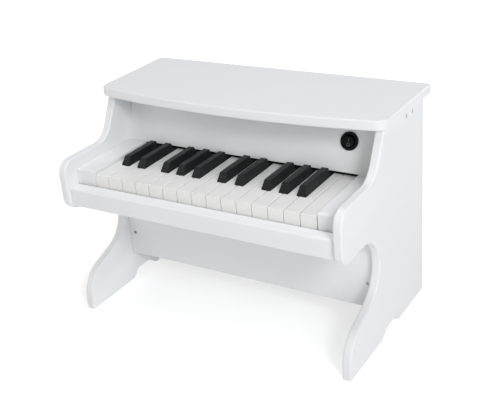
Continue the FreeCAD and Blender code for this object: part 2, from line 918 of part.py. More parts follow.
# Rocker switch
def switch_body():
    """Round bezel and barrel with catches and terminals, open in front for the rocker."""
    bezel = Part.makeCylinder(switch_bezel_radius, switch_bezel_thickness)
    bezel = fillet_where(bezel, switch_bezel_round, lambda edge: edge_lies(edge, "z", switch_bezel_thickness))
    barrel = Part.makeCylinder(switch_barrel_radius, switch_barrel_depth, Vector(0, 0, -switch_barrel_depth))
    pieces = [bezel, barrel]
    for side in (-1, 1):
        x = sorted((0, side * (switch_barrel_radius + clip_reach)))
        pieces.append(block(x, (-clip_width / 2, clip_width / 2),
                            (-thin_board - clip_height, -thin_board)))
        y = side * terminal_offset
        pieces.append(block((-terminal_width / 2, terminal_width / 2),
                            (y - terminal_thickness / 2, y + terminal_thickness / 2),
                            (-switch_barrel_depth - terminal_length, -switch_barrel_depth)))
    body = fuse_all(pieces)
    well_radius = rocker_radius + rocker_clearance
    floor = -rocker_axis_depth - rocker_radius - rocker_floor_gap
    well = Part.makeCylinder(well_radius, switch_bezel_thickness - floor, Vector(0, 0, floor))
    reach = well_radius + rocker_pin_length + overrun / 2
    pin_hole = round_bar(rocker_pin_radius + rod_clearance, Vector(-reach, 0, -rocker_axis_depth),
                         Vector(reach, 0, -rocker_axis_depth))
    return on_fallboard(cut_all(body, [well, pin_hole]))


def switch_rocker():
    """Two-sided rocker cut from a ball, standing with its lower side pressed in."""
    ball = Part.makeSphere(rocker_radius)
    reach = rocker_radius + overrun
    rise = reach * math.tan(math.radians(rocker_tilt))
    fold = Part.makePolygon([
        Vector(-reach, -reach, rocker_height + rise), Vector(-reach, 0, rocker_height),
        Vector(-reach, reach, rocker_height + rise), Vector(-reach, reach, reach),
        Vector(-reach, -reach, reach), Vector(-reach, -reach, rocker_height + rise)])
    above = Part.Face(fold).extrude(Vector(2 * reach, 0, 0))
    below = block((-reach, reach), (-reach, reach), (-reach, -rocker_cut_depth))
    rocker = cut_all(ball, [above, below])
    pin = rocker_radius + rocker_clearance + rocker_pin_length
    rocker = fuse_all([rocker, round_bar(rocker_pin_radius, Vector(-pin, 0, 0), Vector(pin, 0, 0))])
    rocker.rotate(Vector(0, 0, 0), Vector(1, 0, 0), rocker_tilt)
    seated = Part.makeCompound([rocker])
    return on_fallboard(seated, rocker_axis_depth).Solids[0]


# Speaker
def turned(points, centre_x, centre_z):
    """Solid turned about an axis along Y from (radius, y) points."""
    outline = [Vector(centre_x + radius, y, centre_z) for radius, y in points]
    face = Part.Face(Part.makePolygon(outline + outline[:1]))
    return face.revolve(Vector(centre_x, 0, centre_z), Vector(0, 1, 0), 360)


def speaker_frame():
    """Pressed steel basket: flat rim, ledge for the cone's edge, and a floor for the magnet."""
    rim = back_in_y
    inside = speaker_radius - speaker_rim
    ledge = rim - cone_gap - cone_paper
    floor = rim - speaker_depth
    throat = inside - speaker_ledge
    frame = turned([
        (inside, rim), (speaker_radius, rim), (speaker_radius, rim - speaker_metal),
        (inside + speaker_metal, rim - speaker_metal), (inside + speaker_metal, ledge - speaker_metal),
        (throat + speaker_metal, ledge - speaker_metal), (speaker_neck_radius + speaker_metal, floor),
        (cone_neck_radius, floor), (cone_neck_radius, floor + speaker_metal),
        (speaker_neck_radius, floor + speaker_metal), (throat, ledge), (inside, ledge)], speaker_x, speaker_z)
    holes = [small_screw(place, Vector(0, 1, 0), speaker_screw_length, screw_clearance)
             for place in speaker_screw_places()]
    return cut_all(frame, holes)


def speaker_magnet():
    """Magnet and pole plate behind the basket."""
    face = back_in_y - speaker_depth
    magnet = round_bar(magnet_radius, Vector(speaker_x, face - magnet_depth, speaker_z),
                       Vector(speaker_x, face, speaker_z))
    return fillet_where(magnet, magnet_round, lambda edge: edge_lies(edge, "y", face - magnet_depth))


def speaker_cone():
    """Paper cone with edge, dust cap and coil tube, glued to the ledge of the basket."""
    face = back_in_y - cone_gap
    outer = speaker_radius - speaker_rim
    throat = outer - speaker_ledge
    floor = face - cone_depth
    cap = floor + cap_height
    coil = cone_neck_radius - coil_gap
    coil_end = back_in_y - speaker_depth + coil_gap
    return turned([
        (outer, face - cone_paper), (outer, face), (throat, face),
        (cone_neck_radius, floor + cone_paper), (cone_neck_radius / 2, cap), (0, cap),
        (0, cap - cone_paper), (cone_neck_radius / 2, cap - cone_paper), (coil - cone_paper, floor),
        (coil - cone_paper, coil_end), (coil, coil_end), (coil, floor), (throat, face - cone_paper)],
        speaker_x, speaker_z)


# Battery bay
def bay_limits(grow):
    """Limits of the bay in x and z, grown on every side."""
    across = bay_length / 2 + grow
    up = bay_height / 2 + grow
    return (battery_x - across, battery_x + across), (battery_z - up, battery_z + up)


def battery_box():
    """Open bay for the cells with a flange on the outside of the back panel."""
    x, z = bay_limits(bay_wall)
    shell = block(x, (bay_floor_y - bay_wall, bay_mouth_y), z)
    flange_x, flange_z = bay_limits(flange_width)
    shell = shell.fuse(block(flange_x, (back_out_y, bay_mouth_y), flange_z)).removeSplitter()
    inside_x, inside_z = bay_limits(0)
    shell = shell.cut(block(inside_x, (bay_floor_y, bay_mouth_y + overrun), inside_z))
    return shell.cut(small_screw(door_screw_place(), Vector(0, -1, 0), door_screw_length,
                                 door_screw_clearance))


def battery_contacts():
    """Contact plates with bumps at both ends of every cell."""
    pieces = []
    y = bay_floor_y + bay_depth / 2
    half = contact_size / 2
    for row in range(cell_count):
        z = battery_z + (row - (cell_count - 1) / 2) * cell_pitch
        for side in (-1, 1):
            wall = battery_x + side * bay_length / 2
            x = sorted((wall, wall - side * contact_plate))
            plate = block(x, (y - half, y + half), (z - half, z + half))
            bump = Part.makeCone(contact_bump_radius, contact_bump_radius / 2, contact_bump,
                                 Vector(wall - side * contact_plate, y, z), Vector(-side, 0, 0))
            pieces.append(plate.fuse(bump).removeSplitter())
    return Part.makeCompound(pieces)


def battery_door():
    """Cover over the bay with a lip inside the mouth."""
    x, z = bay_limits(flange_width - door_margin)
    plate = block(x, (bay_mouth_y, bay_mouth_y + door_thickness), z)
    lip_x, lip_z = bay_limits(-door_clearance)
    lip = block(lip_x, (bay_mouth_y - door_lip, bay_mouth_y), lip_z)
    room_x, room_z = bay_limits(-door_clearance - bay_wall)
    lip = lip.cut(block(room_x, (bay_mouth_y - door_lip - overrun, bay_mouth_y + overrun), room_z))
    door = plate.fuse(lip).removeSplitter()
    return door.cut(small_screw(door_screw_place(), Vector(0, -1, 0), door_screw_length, screw_clearance))


# Sound board
def sound_board():
    """Circuit board with its chip and two capacitors, on the back panel."""
    face = back_in_y - spacer_height
    half = sound_board_width / 2
    up = sound_board_height / 2
    sheet = block((-half, half), (face - sound_board_thickness, face), (battery_z - up, battery_z + up))
    front = face - sound_board_thickness
    chip = block((-chip_size / 2, chip_size / 2), (front - chip_thickness, front),
                 (battery_z - chip_size / 2, battery_z + chip_size / 2))
    pieces = [sheet, chip]
    for side in (-1, 1):
        x = side * capacitor_offset_share * sound_board_width
        pieces.append(round_bar(capacitor_radius, Vector(x, front - capacitor_length, battery_z),
                                Vector(x, front, battery_z)))
    holes = [small_screw(place, Vector(0, 1, 0), board_screw_length, screw_clearance)
             for place in sound_board_screw_places()]
    return cut_all(fuse_all(pieces), holes)


def sound_board_spacers():
    """Tubes between the sound board and the back panel."""
    pieces = []
    for place in sound_board_screw_places():
        start = Vector(place.x, back_in_y - spacer_height, place.z)
        end = Vector(place.x, back_in_y, place.z)
        tube = round_bar(spacer_radius, start, end)
        pieces.append(tube.cut(small_screw(place, Vector(0, 1, 0), board_screw_length, screw_clearance)))
    return Part.makeCompound(pieces)


def group(shapes):
    """Several like pieces in one file, each its own solid."""
    return Part.makeCompound(shapes)


os.makedirs("parts", exist_ok=True)

save("left_side_panel", side_panel(-1))
save("right_side_panel", side_panel(1))
save("lid", lid())
save("fallboard", fallboard())
save("knee_board", knee_board())
save("key_bed", key_bed())
save("front_rail", front_rail())
save("left_end_block", end_block(-1))
save("right_end_block", end_block(1))
save("back_panel", back_panel())
save("knee_cleats", knee_cleats())
save("lid_cleats", lid_cleats())

for number, index in enumerate(range(white_count), 1):
    save("white_key_%02d" % number, white_key(index))
for number, index in enumerate(black_indices(), 1):
    save("black_key_%02d" % number, black_key(index))

save("key_frame", key_frame())
save("key_pivot_rod", key_pivot_rod())
save("key_return_comb", key_return_comb())
save("front_stop_felt", front_stop_felt())
save("tail_stop_felt", tail_stop_felt())
save("contact_board", contact_board())
save("contact_strip", contact_strip())
save("switch_body", switch_body())
save("switch_rocker", switch_rocker())
save("speaker_frame", speaker_frame())
save("speaker_magnet", speaker_magnet())
save("speaker_cone", speaker_cone())
save("battery_box", battery_box())
save("battery_contacts", battery_contacts())
save("battery_door", battery_door())
save("sound_board", sound_board())
save("sound_board_spacers", sound_board_spacers())

save("bed_dowels", group([dowel(place) for place in dowel_places()]))
save("knee_board_screws", group([board_screw(place, Vector(0, 1, 0), knee_screw_length)
                                 for place in knee_screw_places()]))
save("side_panel_screws", group([board_screw(place, Vector(-side, 0, 0), side_screw_length)
                                 for side in (-1, 1) for place in side_screw_places(side)]))
save("back_panel_screws", group([board_screw(place, Vector(0, -1, 0), back_screw_length)
                                 for place in back_screw_places()]))
save("small_screws", group(
    [small_screw(place, Vector(0, 0, -1), frame_screw_length) for place in frame_screw_places()]
    + [small_screw(place, Vector(0, 1, 0), speaker_screw_length) for place in speaker_screw_places()]
    + [small_screw(place, Vector(0, 1, 0), board_screw_length) for place in sound_board_screw_places()]))
save("battery_door_screw", small_screw(door_screw_place(), Vector(0, -1, 0), door_screw_length))
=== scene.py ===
"""Finish of the white toy piano: painted boards, moulded keys, switch, fasteners, inner parts and stage."""

import json
import math

import bpy
from bpy.props import FloatProperty, FloatVectorProperty, PointerProperty
from mathutils import Matrix, Vector

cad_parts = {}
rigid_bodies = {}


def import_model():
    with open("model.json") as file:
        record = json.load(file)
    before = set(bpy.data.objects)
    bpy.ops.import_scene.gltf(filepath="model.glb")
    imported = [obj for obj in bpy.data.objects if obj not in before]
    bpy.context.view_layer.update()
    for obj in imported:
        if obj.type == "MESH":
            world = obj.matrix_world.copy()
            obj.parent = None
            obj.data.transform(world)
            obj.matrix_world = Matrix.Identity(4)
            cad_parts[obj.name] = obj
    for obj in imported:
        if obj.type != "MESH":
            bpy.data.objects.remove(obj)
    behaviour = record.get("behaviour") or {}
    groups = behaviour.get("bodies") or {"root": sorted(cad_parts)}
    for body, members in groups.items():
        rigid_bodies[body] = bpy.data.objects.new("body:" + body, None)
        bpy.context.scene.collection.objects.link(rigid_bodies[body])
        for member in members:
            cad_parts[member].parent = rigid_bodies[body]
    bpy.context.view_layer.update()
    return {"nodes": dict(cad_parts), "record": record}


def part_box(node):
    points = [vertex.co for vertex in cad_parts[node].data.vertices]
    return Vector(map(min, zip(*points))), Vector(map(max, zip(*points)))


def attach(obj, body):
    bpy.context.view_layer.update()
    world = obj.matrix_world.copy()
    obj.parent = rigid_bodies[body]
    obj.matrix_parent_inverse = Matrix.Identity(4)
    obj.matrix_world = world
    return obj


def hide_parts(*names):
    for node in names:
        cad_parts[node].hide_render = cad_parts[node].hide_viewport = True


bl_info = {
    "name": "White Toy Piano",
    "version": (1, 0, 0),
    "blender": (4, 5, 0),
    "location": "View3D > Sidebar > Toy Piano",
    "description": "Dresses the packed frame of a white toy piano and sets its stage",
    "category": "Object",
}

for leftover in list(bpy.data.objects):
    bpy.data.objects.remove(leftover)
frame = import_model()

MM = 0.001
BODY_OF = {node: body for body, nodes in frame["record"]["behaviour"]["bodies"].items() for node in nodes}
SLOT_OF = {part["node"]: part["material_slot"] for part in frame["record"]["subparts"]}
PAINTED_BOARDS = ("left_side_panel", "right_side_panel", "lid", "fallboard", "knee_board", "key_bed",
                  "front_rail", "left_end_block", "right_end_block", "back_panel")
WHITE_KEYS = sorted(node for node in frame["nodes"] if node.startswith("white_key"))
BLACK_KEYS = sorted(node for node in frame["nodes"] if node.startswith("black_key"))
SWITCH_PARTS = ("switch_body", "switch_rocker")
BATTERY_PARTS = ("battery_box", "battery_door")
# The way that the screws' heads face, where None stands for outwards from the nearer side of the case
SCREWS = {"knee_board_screws": (0, -1, 0), "back_panel_screws": (0, 1, 0), "battery_door_screw": (0, 1, 0),
          "side_panel_screws": None}


# Values that a user would change
def linear(code):
    """Linear RGBA of an sRGB hex colour, by the formula of the sRGB standard."""
    parts = [int(code[start:start + 2], 16) / 255 for start in (1, 3, 5)]
    return [part / 12.92 if part <= 0.04045 else ((part + 0.055) / 1.055) ** 2.4 for part in parts] + [1.0]


def colour(name, code, description):
    """Colour property with an sRGB hex default."""
    return FloatVectorProperty(name=name, description=description, subtype="COLOR", size=4, min=0, max=1,
                               default=linear(code))


def length(name, millimetres, description):
    """Length property with its default in millimetres."""
    return FloatProperty(name=name, description=description, unit="LENGTH", min=0, default=millimetres * MM)


class PianoColours(bpy.types.PropertyGroup):
    """Colours that a user would change."""

    paint: colour("Paint", "#F0F2F3", "Sprayed satin paint on the boards")
    white_key: colour("White keys", "#F1F1EF", "Moulded white of the long keys")
    black_key: colour("Black keys", "#0E1113", "Moulded black of the short keys")
    switch: colour("Switch", "#090B0C", "Black of the rocker switch")
    mark: colour("Switch marks", "#54585A", "Printed bar and ring on the rocker")
    # On the strip over the keys this charcoal is painted shade of the gap under the fallboard
    felt: colour("Felt", "#17171A", "Wool felt of the stops and of the strip over the keys")
    steel: colour("Steel", "#A6A8AB", "Zinc plated steel of the screws and springs")
    floor: colour("Floor", "#FAFAFA", "Pale studio floor")


class PianoSizes(bpy.types.PropertyGroup):
    """Sizes that a user would change."""

    arris: length("Board arris", 0.7, "Sanded round on the sharp edges of the boards")
    key_arris: length("White key arris", 0.35, "Moulded round on the sharp edges of the white keys")
    black_key_arris: length("Black key arris", 0.9, "Moulded round on the sharp edges of the black keys")
    small_arris: length("Small arris", 0.3, "Round on the edges of fallboard, felt strip and small parts")
    recess_span: length("Recess span", 2.9, "Tip to tip width of a screw's cross recess")
    recess_slot: length("Recess slot", 0.7, "Width of each slot of a cross recess")
    recess_depth: length("Recess depth", 1.0, "Depth of a cross recess")
    bar_height: length("Bar height", 3.2, "Height of the bar on the rocker")
    ring_height: length("Ring height", 4.4, "Height of the ring on the rocker")
    mark_line: length("Mark line", 0.9, "Line width of the marks on the rocker")
    bar_drop: length("Bar drop", 0.4, "How far the bar sits below the middle of the rocker's upper half")
    ring_drop: length("Ring drop", 1.0, "How far the ring sits below the middle of the rocker's lower half")
    felt_strip: length("Felt strip", 2.4, "Thickness of the felt strip under the fallboard")
    felt_gap: length("Felt gap", 0.6, "Room between the felt strip and the white keys")
    felt_inset: length("Felt inset", 2.0, "How far the felt strip stands behind the fallboard's front")


# Objects and meshes
# Points nearer than this are one point, and faces that turn by less than this are one face
MERGE_DISTANCE = 0.002 * MM
FLAT_ANGLE = math.radians(0.2)
# Edges that turn by more than the first are rounded, and by more than the second stay sharp in the shading
SHARP_ANGLE = math.radians(40)
SMOOTH_ANGLE = math.radians(60)
ROUND_SEGMENTS = 2
FINE_ROUND_SEGMENTS = 3
# Lead that large faces have over the small ones beside them in the shading
LARGE_FACE_WEIGHT = 100


def select_none():
    """Leave edit mode with nothing selected."""
    if bpy.context.object and bpy.context.object.mode != "OBJECT":
        bpy.ops.object.mode_set(mode="OBJECT")
    bpy.ops.object.select_all(action="DESELECT")


def select_only(piece):
    """Make one object the selected and active one."""
    select_none()
    piece.select_set(True)
    bpy.context.view_layer.objects.active = piece


def edit(piece):
    """Open one object in edit mode with all of it selected."""
    select_only(piece)
    bpy.ops.object.mode_set(mode="EDIT")
    bpy.ops.mesh.select_all(action="SELECT")


def leave_edit():
    """Go back to object mode."""
    bpy.ops.object.mode_set(mode="OBJECT")


def started(operator, **settings):
    """New object that one of Blender's add operators makes, with nothing else selected."""
    select_none()
    operator(**settings)
    return bpy.context.object


def linked_copy(name, mesh):
    """New object in the scene with its own copy of a mesh."""
    piece = bpy.data.objects.new(name, mesh.copy())
    bpy.context.scene.collection.objects.link(piece)
    return piece


def joined(pieces):
    """Join objects into the first of them."""
    select_only(pieces[0])
    for piece in pieces:
        piece.select_set(True)
    bpy.ops.object.join()
    return pieces[0]


def copied(node):
    """Clean copy of a CAD node's mesh, its triangles merged into whole faces."""
    piece = linked_copy(node + "_finish", frame["nodes"][node].data)
    piece.data.materials.clear()
    select_only(piece)
    bpy.ops.mesh.customdata_custom_splitnormals_clear()
    edit(piece)
    bpy.ops.mesh.remove_doubles(threshold=MERGE_DISTANCE)
    bpy.ops.mesh.dissolve_limited(angle_limit=FLAT_ANGLE)
    leave_edit()
    return piece


def modify(piece, kind, **settings):
    """Add a modifier with its settings and apply it."""
    select_only(piece)
    modifier = piece.modifiers.new(kind.title(), kind)
    for name, value in settings.items():
        setattr(modifier, name, value)
    bpy.ops.object.modifier_apply(modifier=modifier.name)


def smooth(piece, angle):
    """Shade a piece smoothly, apart from edges that turn by more than an angle."""
    select_only(piece)
    bpy.ops.object.shade_smooth_by_angle(angle=angle)


def soften(piece, width, segments=ROUND_SEGMENTS):
    """Round the sharp edges and shade the rest smoothly, with the large faces kept flat."""
    modify(piece, "BEVEL", width=width, segments=segments, limit_method="ANGLE", angle_limit=SHARP_ANGLE,
           use_clamp_overlap=True, miter_outer="MITER_ARC")
    smooth(piece, SMOOTH_ANGLE)
    modify(piece, "WEIGHTED_NORMAL", weight=LARGE_FACE_WEIGHT, keep_sharp=True)


def coat(piece, material):
    """Give a piece one material all over."""
    piece.data.materials.clear()
    piece.data.materials.append(material)


def settle(piece, node):
    """Let a piece stand for a CAD node: put it on the node's body and hide the node."""
    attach(piece, BODY_OF[node])
    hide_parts(node)


def dress(node, material, arris, segments=ROUND_SEGMENTS):
    """Put a softened and coated copy in the place of a CAD node."""
    piece = copied(node)
    soften(piece, arris, segments)
    coat(piece, material)
    settle(piece, node)


# Materials
# Range of the mottling noise over which a finish goes from its low to its high roughness
CLOUD_LOW = 0.3
CLOUD_HIGH = 0.7
CLOUD_DETAIL = 4.0
GRAIN_DETAIL = 2.0
# Places of the colour sockets on a Mix node, whose names are shared with its other sockets
MIX_FIRST = 6
MIX_SECOND = 7
MIX_RESULT = 2


def per(millimetres):
    """Texture scale that repeats about once in a length on Object coordinates."""
    return 1 / (millimetres * MM)


def add(tree, kind, inputs=None, **settings):
    """Add a node with its settings, and set or link its inputs."""
    node = tree.nodes.new(kind)
    for name, value in settings.items():
        setattr(node, name, value)
    for name, value in (inputs or {}).items():
        if isinstance(value, bpy.types.NodeSocket):
            tree.links.new(value, node.inputs[name])
        else:
            node.inputs[name].default_value = value
    return node


def shade(rgba, factor):
    """Colour made a little darker or lighter."""
    return [min(1, part * factor) for part in rgba[:3]] + [1.0]


def finish(name, rgba, roughness, mottle, grain, metallic=0.0, ior=1.5, specular=0.5, sheen=0.0,
           pattern=None):
    """Material with mottled colour and roughness and a fine grain.

    roughness is (low, high), mottle is (size in mm, share of the colour), grain is (size in mm, depth in mm).
    pattern takes the node tree, the Object coordinates and the mottled colour, and gives the colour to show.
    """
    if name in bpy.data.materials:
        return bpy.data.materials[name]
    material = bpy.data.materials.new(name)
    material.use_nodes = True
    tree = material.node_tree
    surface = tree.nodes["Principled BSDF"]
    surface.inputs["Metallic"].default_value = metallic
    surface.inputs["IOR"].default_value = ior
    surface.inputs["Specular IOR Level"].default_value = specular
    surface.inputs["Sheen Weight"].default_value = sheen
    mottle_size, mottle_share = mottle
    grain_size, grain_depth = grain
    place = add(tree, "ShaderNodeTexCoord").outputs["Object"]
    cloud = add(tree, "ShaderNodeTexNoise", {"Vector": place, "Scale": per(mottle_size),
                                             "Detail": CLOUD_DETAIL})
    tint = add(tree, "ShaderNodeMix", {"Factor": cloud.outputs["Fac"],
                                       MIX_FIRST: shade(rgba, 1 - mottle_share),
                                       MIX_SECOND: shade(rgba, 1 + mottle_share)}, data_type="RGBA")
    gloss = add(tree, "ShaderNodeMapRange", {"Value": cloud.outputs["Fac"], "From Min": CLOUD_LOW,
                                             "From Max": CLOUD_HIGH, "To Min": roughness[0],
                                             "To Max": roughness[1]})
    speck = add(tree, "ShaderNodeTexNoise", {"Vector": place, "Scale": per(grain_size),
                                             "Detail": GRAIN_DETAIL})
    bump = add(tree, "ShaderNodeBump", {"Height": speck.outputs["Fac"], "Distance": grain_depth * MM,
                                        "Strength": 1.0})
    shown = tint.outputs[MIX_RESULT]
    if pattern:
        shown = pattern(tree, place, shown)
    tree.links.new(shown, surface.inputs["Base Color"])
    tree.links.new(gloss.outputs["Result"], surface.inputs["Roughness"])
    tree.links.new(bump.outputs["Normal"], surface.inputs["Normal"])
    return material


def sprayed_satin_paint():
    """Two coats sprayed on fibreboard: even white, soft sheen, slight orange peel in the reflections."""
    return finish("sprayed satin paint", bpy.context.scene.piano_colours.paint, roughness=(0.36, 0.46),
                  mottle=(45.0, 0.008), grain=(2.6, 0.012))


def polished_white_abs():
    """Moulded ABS of the long keys: warm white with a clear but soft gloss and faint flow marks."""
    return finish("polished white ABS", bpy.context.scene.piano_colours.white_key, roughness=(0.28, 0.36),
                  mottle=(30.0, 0.01), grain=(1.5, 0.004), ior=1.53)


def textured_black_abs():
    """Moulded ABS of the short keys: spark-eroded mould, so a dry grey sheen with fine grit."""
    # The grit is about 0.05 mm wide, too fine to show, so it is drawn 0.9 mm wide.
    return finish("textured black ABS", bpy.context.scene.piano_colours.black_key, roughness=(0.42, 0.52),
                  mottle=(6.0, 0.12), grain=(0.9, 0.02), ior=1.53, specular=0.16, sheen=0.08)


def switch_nylon():
    """Glass-filled nylon of the switch: near black, semi gloss."""
    # The glass fibres are about 0.01 mm thick, too fine to show, so their unevenness is drawn 0.7 mm wide.
    return finish("switch nylon", bpy.context.scene.piano_colours.switch, roughness=(0.3, 0.4),
                  mottle=(4.0, 0.1), grain=(0.7, 0.008), ior=1.53, specular=0.08)


def pad_printed_grey():
    """Ink of the rocker's marks: flat grey, a little worn by fingers."""
    # The pores of the ink are about 0.05 mm wide, too fine to show, so they are drawn 0.5 mm wide.
    return finish("pad printed grey", bpy.context.scene.piano_colours.mark, roughness=(0.5, 0.65),
                  mottle=(1.2, 0.2), grain=(0.5, 0.004), specular=0.2)


def zinc_plated_steel():
    """Dulled zinc on steel: grey metal, slightly cloudy."""
    # The zinc's crystals are under 0.05 mm wide, too fine to show, so they are drawn 0.4 mm wide.
    return finish("zinc plated steel", bpy.context.scene.piano_colours.steel, roughness=(0.36, 0.5),
                  mottle=(3.0, 0.08), grain=(0.4, 0.004), metallic=1.0)


def recess_shade_steel():
    """Pressed recess of a screw: the same steel, left dull by the punch and darkened as painted shade of the
    deep cross.
    """
    # The marks of the punch are about 0.05 mm wide, too fine to show, so they are drawn 0.3 mm wide.
    return finish("recess shade steel", linear("#2A2B2D"), roughness=(0.55, 0.7), mottle=(0.8, 0.2),
                  grain=(0.3, 0.01), metallic=1.0)


# Growth lines in millimetres, their length by a smaller scale, and the range of noise that they fade in over
GROWTH_LINE = 2.2
GROWTH_STRETCH = 0.06
GROWTH_LOW = 0.45
GROWTH_HIGH = 0.65
GROWTH_DETAIL = 3.0


def growth_lines(tree, place, ground):
    """Darker growth lines, long in the upright direction."""
    long = add(tree, "ShaderNodeMapping", {"Vector": place, "Scale": (1.0, 1.0, GROWTH_STRETCH)})
    rings = add(tree, "ShaderNodeTexNoise", {"Vector": long.outputs["Vector"], "Scale": per(GROWTH_LINE),
                                             "Detail": GROWTH_DETAIL})
    line = add(tree, "ShaderNodeMapRange", {"Value": rings.outputs["Fac"], "From Min": GROWTH_LOW,
                                            "From Max": GROWTH_HIGH})
    grown = add(tree, "ShaderNodeMix", {"Factor": line.outputs["Result"], MIX_FIRST: ground,
                                        MIX_SECOND: linear("#B98F5C")}, data_type="RGBA")
    return grown.outputs[MIX_RESULT]


def planed_softwood():
    """Pine battens and dowels: pale yellow brown with darker growth lines."""
    # The wood's cells are about 0.04 mm wide, too fine to show, so they are drawn 0.8 mm wide.
    return finish("planed softwood", linear("#D9BE93"), roughness=(0.6, 0.75), mottle=(18.0, 0.06),
                  grain=(0.8, 0.03), pattern=growth_lines)


def pressed_wool_felt():
    """Wool felt of the stops and the strip over the keys: charcoal, no gloss, soft matted fibres; on the
    strip the charcoal is painted shade.
    """
    # The fibres are about 0.03 mm thick, too fine to show, so they are drawn as tufts 0.5 mm wide.
    return finish("pressed wool felt", bpy.context.scene.piano_colours.felt, roughness=(0.9, 1.0),
                  mottle=(2.0, 0.25), grain=(0.5, 0.15), specular=0.1)


LACQUER = "#1E6B3C"
# Spacing of the tracks in millimetres, and their width as a share of it
TRACK_SPACING = 9.0
TRACK_SHARE = 0.05


def copper_tracks(tree, place, ground):
    """Paler tracks that show through the lacquer, on a plain ground of two close greens."""
    flat = add(tree, "ShaderNodeMapping", {"Vector": place, "Rotation": (math.radians(90), 0, 0)})
    tracks = add(tree, "ShaderNodeTexBrick", {"Vector": flat.outputs["Vector"], "Scale": per(TRACK_SPACING),
                                              "Mortar Size": TRACK_SHARE, "Color1": linear(LACQUER),
                                              "Color2": linear("#1A6036"), "Mortar": linear("#3F9A62")})
    return tracks.outputs["Color"]


def solder_mask():
    """Glass laminate under green lacquer: glossy green with slightly paler tracks."""
    return finish("solder mask", linear(LACQUER), roughness=(0.22, 0.3), mottle=(8.0, 0.08),
                  grain=(0.6, 0.004), ior=1.55, pattern=copper_tracks)


def silicone_rubber():
    """Contact strip: grey silicone, dull and slightly dusty."""
    # The dust is about 0.05 mm wide, too fine to show, so it is drawn 0.4 mm wide.
    return finish("silicone rubber", linear("#8C8E90"), roughness=(0.55, 0.7), mottle=(3.0, 0.1),
                  grain=(0.4, 0.01), ior=1.41)


def sintered_ferrite():
    """Speaker magnet: charcoal ceramic with a dry grainy face."""
    # The grains are about 0.01 mm wide, too fine to show, so they are drawn 0.5 mm wide.
    return finish("sintered ferrite", linear("#3B3C3F"), roughness=(0.65, 0.8), mottle=(2.5, 0.2),
                  grain=(0.5, 0.03))


def pressed_paper():
    """Speaker cone: black paper pulp with a visible fibre."""
    # The fibres are about 0.03 mm thick, too fine to show, so they are drawn as tufts 0.6 mm wide.
    return finish("pressed paper", linear("#2B2B2C"), roughness=(0.85, 0.95), mottle=(1.6, 0.35),
                  grain=(0.6, 0.05))


def moulded_grey_abs():
    """Key frame and spacers: plain grey ABS, semi matt from the mould."""
    # The mould's texture is about 0.1 mm wide, too fine to show, so it is drawn 0.8 mm wide.
    return finish("moulded grey ABS", linear("#9A9C9E"), roughness=(0.42, 0.52), mottle=(20.0, 0.03),
                  grain=(0.8, 0.01), ior=1.53)


def textured_white_abs():
    """Battery box and door: off-white ABS with a fine sparked texture."""
    # The texture is about 0.05 mm wide, too fine to show, so it is drawn 0.8 mm wide.
    return finish("textured white ABS", linear("#E4E4E1"), roughness=(0.45, 0.55), mottle=(25.0, 0.01),
                  grain=(0.8, 0.03), ior=1.53)


# Boards and keys
class PIANO_OT_painted_boards(bpy.types.Operator):
    """Dress the painted boards of the case"""

    bl_idname = "piano.painted_boards"
    bl_label = "Painted Boards"

    def execute(self, context):
        sizes = context.scene.piano_sizes
        for node in PAINTED_BOARDS:
            arris = sizes.small_arris if node == "fallboard" else sizes.arris
            dress(node, sprayed_satin_paint(), arris)
        return {"FINISHED"}


class PIANO_OT_white_keys(bpy.types.Operator):
    """Dress the white keys"""

    bl_idname = "piano.white_keys"
    bl_label = "White Keys"

    def execute(self, context):
        for node in WHITE_KEYS:
            dress(node, polished_white_abs(), context.scene.piano_sizes.key_arris)
        return {"FINISHED"}


class PIANO_OT_black_keys(bpy.types.Operator):
    """Dress the black keys"""

    bl_idname = "piano.black_keys"
    bl_label = "Black Keys"

    def execute(self, context):
        for node in BLACK_KEYS:
            dress(node, textured_black_abs(), context.scene.piano_sizes.black_key_arris, FINE_ROUND_SEGMENTS)
        return {"FINISHED"}


# Rocker switch and its marks
# Y part of a normal below which a face looks to the front, and digits to which one flat half's normals agree
FRONT_FACING = -0.5
NORMAL_DIGITS = 2
# Corner round of the bar as a share of its line, width of the ring as a share of its height
BAR_CORNER_SHARE = 0.3
RING_SQUASH = 0.9
RING_SIDES = 40
MARK_PROUD = 0.03 * MM


def rocker_faces():
    """Middle and normal of the rocker's two flat halves, upper one first."""
    halves = {}
    for face in frame["nodes"]["switch_rocker"].data.polygons:
        if face.normal.y < FRONT_FACING:
            key = tuple(round(part, NORMAL_DIGITS) for part in face.normal)
            halves.setdefault(key, []).append(face)
    flat = sorted(halves.values(), key=lambda faces: sum(face.area for face in faces))[-2:]
    found = []
    for faces in flat:
        area = sum(face.area for face in faces)
        middle = sum((face.center * face.area for face in faces), Vector()) / area
        found.append((middle, faces[0].normal.copy()))
    return sorted(found, key=lambda face: -face[0].z)


def bar_mark():
    """Upright bar with rounded corners, flat on the XY plane."""
    sizes = bpy.context.scene.piano_sizes
    mark = started(bpy.ops.mesh.primitive_plane_add, size=1)
    mark.name = "switch_bar_mark"
    edit(mark)
    bpy.ops.transform.resize(value=(sizes.mark_line, sizes.bar_height, 1))
    bpy.ops.mesh.bevel(offset=sizes.mark_line * BAR_CORNER_SHARE, segments=FINE_ROUND_SEGMENTS,
                       affect="VERTICES")
    leave_edit()
    return mark


def ring_mark():
    """Upright ring, a little narrower than high, flat on the XY plane."""
    sizes = bpy.context.scene.piano_sizes
    mark = started(bpy.ops.mesh.primitive_circle_add, vertices=RING_SIDES, radius=sizes.ring_height / 2,
                   fill_type="NGON")
    mark.name = "switch_ring_mark"
    edit(mark)
    bpy.ops.mesh.inset(thickness=sizes.mark_line)
    bpy.ops.mesh.delete(type="FACE")
    bpy.ops.mesh.select_all(action="SELECT")
    bpy.ops.transform.resize(value=(RING_SQUASH, 1, 1))
    leave_edit()
    return mark


